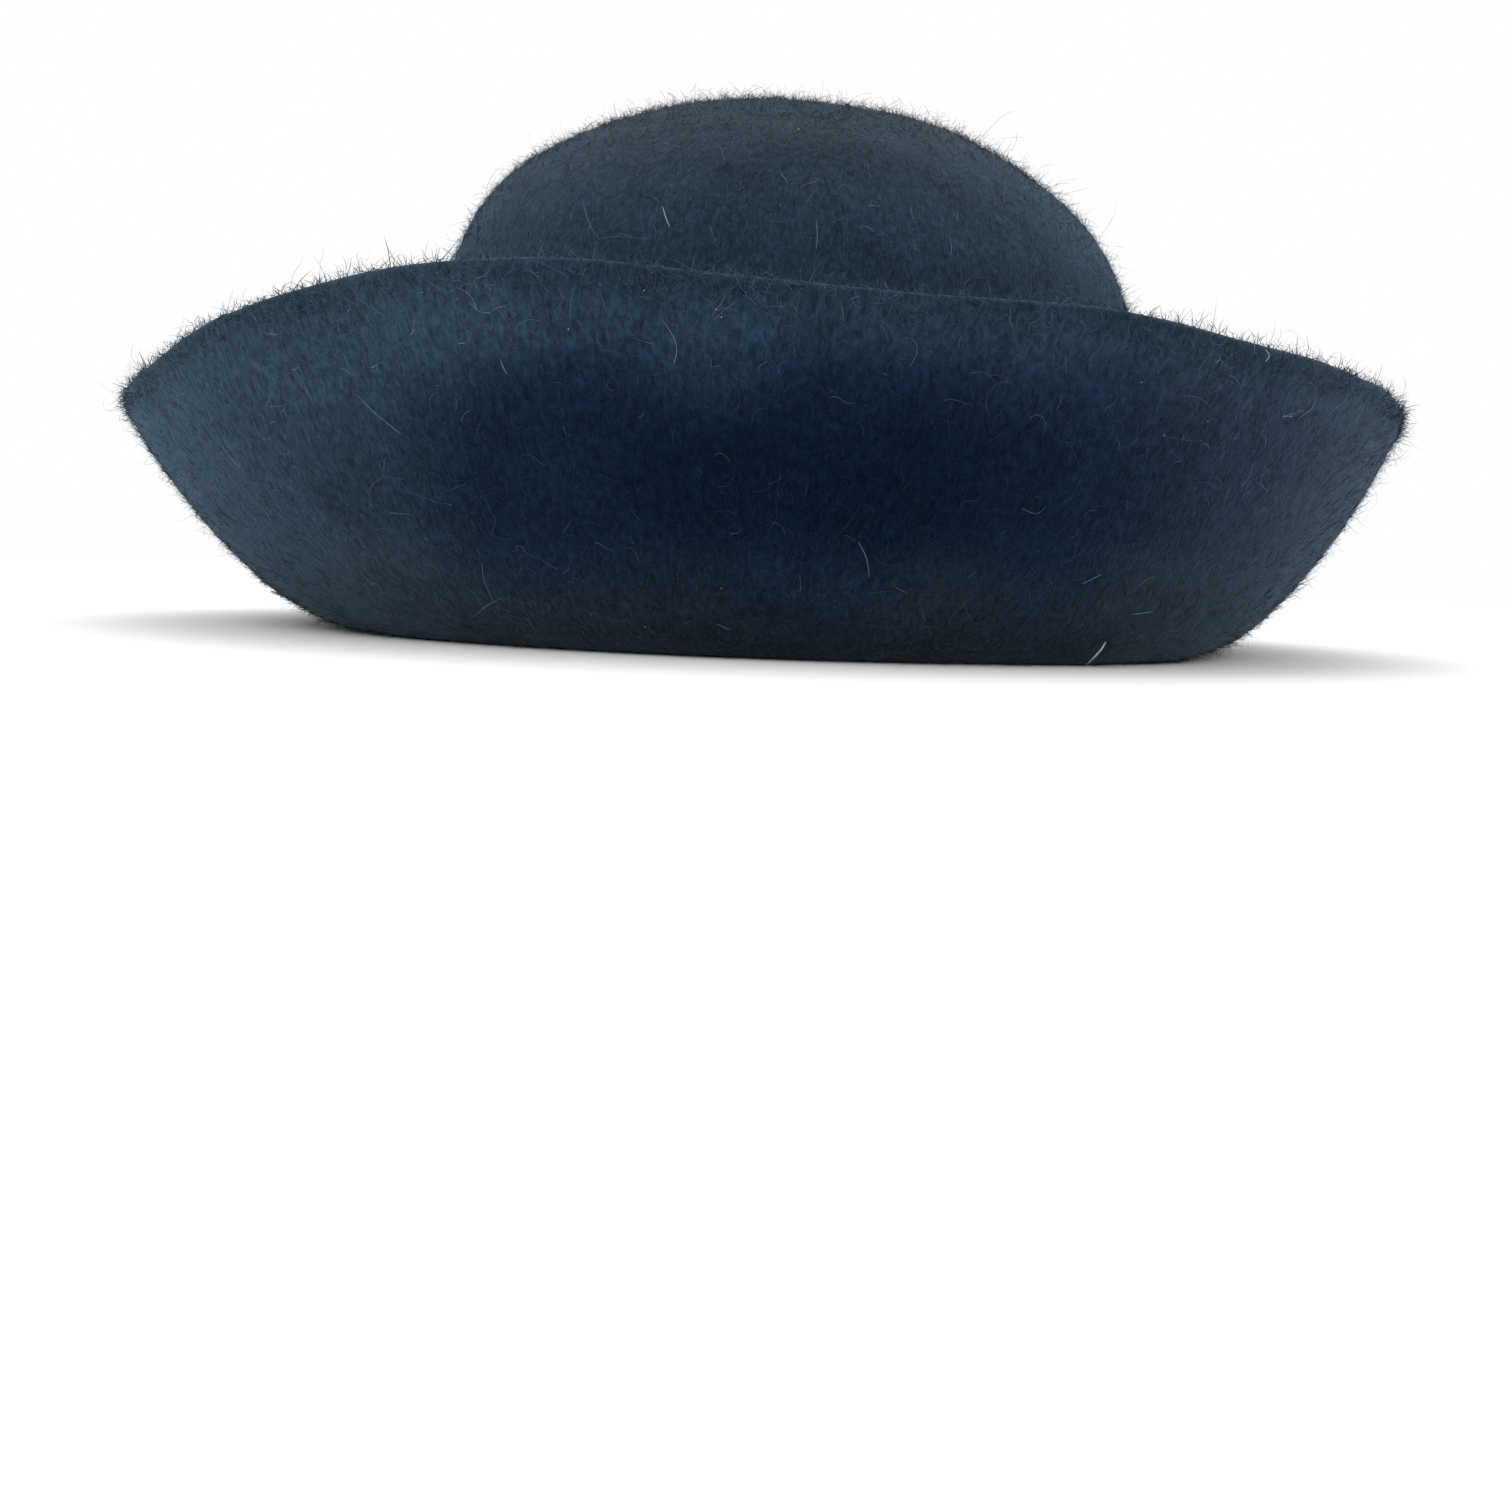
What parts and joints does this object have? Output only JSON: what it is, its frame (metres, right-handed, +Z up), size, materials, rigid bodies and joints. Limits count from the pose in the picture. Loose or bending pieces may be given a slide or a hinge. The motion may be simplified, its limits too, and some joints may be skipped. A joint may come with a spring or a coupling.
{
  "type": "wide-brim wool felt hat",
  "caption": "Rounded-crown hat of one thick brushed wool felt, its wide brim turned up all round into a deep bowl.",
  "frame": {"origin": "middle of the hat's outline, on the surface that it stands on", "axes": "+Z up through the crown, -Y towards the front, +X towards the right as seen from the front camera"},
  "size_m": [0.3056, 0.3338, 0.1285],
  "materials": {
    "wool_felt": "matt navy wool felt with a long brushed nap"
  },
  "bodies": {
    "root": {"felt_body": "wool_felt"}
  },
  "joints": []
}
